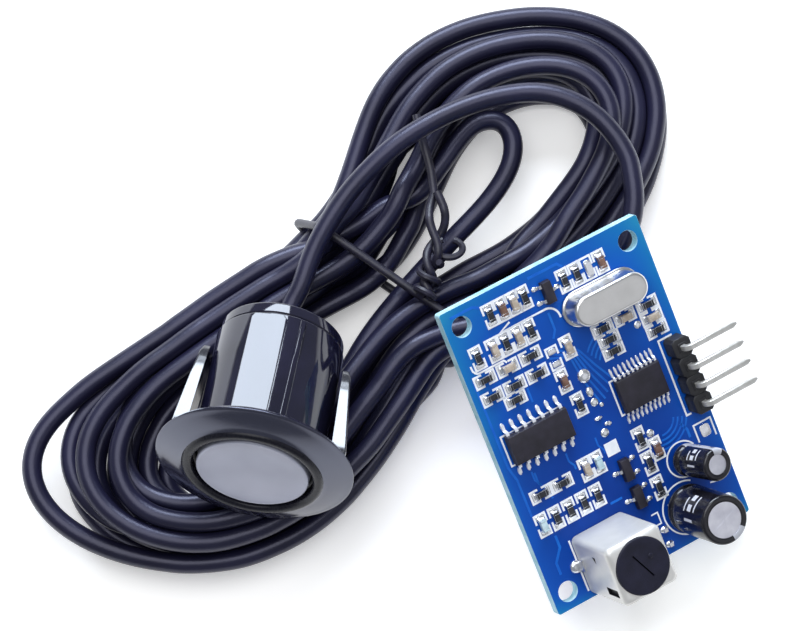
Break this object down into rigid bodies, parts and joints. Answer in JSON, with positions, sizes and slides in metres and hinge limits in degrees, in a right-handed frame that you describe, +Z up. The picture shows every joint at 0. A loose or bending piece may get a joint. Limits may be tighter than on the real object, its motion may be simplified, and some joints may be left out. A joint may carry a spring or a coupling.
{
  "type": "ultrasonic distance sensor",
  "caption": "Waterproof ultrasonic ranging module: driver board with tall tuning can and right-angle pins, flush-mount round probe with sprung wings, cable wound in a tied hank.",
  "frame": {"origin": "centre of the base of the box round the board and the probe, on the surface that the sensor lies on", "axes": "+Z up from the surface, +X to the right along the longest extent of board and probe, with the header pins at the +X end; the probe faces -Y"},
  "size_m": [0.0904, 0.0772, 0.0323],
  "materials": {
    "board_blue": "semi-gloss blue solder mask on a glass-fibre laminate",
    "housing_black": "high gloss moulded black",
    "transducer_face": "satin grey coated aluminium",
    "rubber_black": "matte",
    "piezo_ceramic": "matte",
    "felt": "matte",
    "silicone": "satin",
    "cable_sheath": "semi-matte PVC",
    "header_black": "matte",
    "tinned_steel": "bright tin plate",
    "nickel_steel": "bright nickel",
    "chip_black": "fine matte moulding",
    "capacitor_sleeve": "glossy shrink sleeve with a grey stripe",
    "ferrite": "matte sintered",
    "copper_wire": "enamelled copper",
    "nylon_white": "satin",
    "wire_red": "satin",
    "wire_white": "satin",
    "chip_ceramic": "satin with tinned ends",
    "tie_black": "satin"
  },
  "bodies": {
    "sensor": {"probe_housing": "housing_black", "rear_cap": "housing_black", "transducer_cup": "transducer_face", "isolation_ring": "rubber_black", "piezo_disc": "piezo_ceramic", "damper_pad": "felt", "potting_plug": "silicone", "core_wire_signal": "wire_red", "core_wire_return": "wire_white", "cable_gland": "rubber_black", "circuit_board": "board_blue", "header_body": "header_black", "crystal_base": "nickel_steel", "crystal_can": "nickel_steel", "amplifier_ic": "chip_black", "controller_ic": "chip_black", "transistor_1": "chip_black", "transistor_2": "chip_black", "transistor_3": "chip_black", "large_capacitor_can": "capacitor_sleeve", "small_capacitor_can": "capacitor_sleeve", "large_capacitor_bung": "rubber_black", "small_capacitor_bung": "rubber_black", "transformer_can": "tinned_steel", "transformer_base": "header_black", "transformer_bobbin": "nylon_white", "transformer_winding": "copper_wire", "probe_socket": "nylon_white", "socket_pin_1": "tinned_steel", "socket_pin_2": "tinned_steel", "cable_plug": "nylon_white", "cable_lead": "cable_sheath", "cable_hank": "cable_sheath", "cable_tail": "cable_sheath", "twist_tie": "tie_black", "plug_wire_signal": "wire_red", "plug_wire_return": "wire_white", "header_pin_1": "tinned_steel", "header_pin_2": "tinned_steel", "header_pin_3": "tinned_steel", "header_pin_4": "tinned_steel", "chip_top_left_1": "chip_ceramic", "chip_top_left_2": "chip_ceramic", "chip_top_left_3": "chip_ceramic", "chip_top_left_4": "chip_ceramic", "chip_top_right_1": "chip_ceramic", "chip_top_right_2": "chip_ceramic", "chip_top_right_3": "chip_ceramic", "chip_top_right_4": "chip_ceramic", "chip_lower_left_1": "chip_ceramic", "chip_lower_left_2": "chip_ceramic", "chip_lower_left_3": "chip_ceramic", "chip_lower_left_4": "chip_ceramic", "chip_lower_left_5": "chip_ceramic"},
    "left_wing": {"retaining_wing_left": "housing_black"},
    "right_wing": {"retaining_wing_right": "housing_black"},
    "core": {"tuning_core": "ferrite"}
  },
  "joints": [
    {"name": "left_wing_flex", "type": "hinge", "parent": "sensor", "child": "left_wing", "pos_m": [-0.03047, 0.0062, 0.01589], "axis": [0.0742, 0.3967, 0.915], "range_deg": [0, 4], "stiffness_Nm_per_rad": 0.1},
    {"name": "right_wing_flex", "type": "hinge", "parent": "sensor", "child": "right_wing", "pos_m": [-0.01474, 0.00326, 0.01589], "axis": [-0.0742, -0.3967, -0.915], "range_deg": [0, 4], "stiffness_Nm_per_rad": 0.1},
    {"name": "core_turn", "type": "hinge", "parent": "sensor", "child": "core", "pos_m": [0.02174, -0.01885, 0.01726], "axis": [0.3911, -0.2689, 0.8802], "range_deg": [-270, 270]}
  ]
}
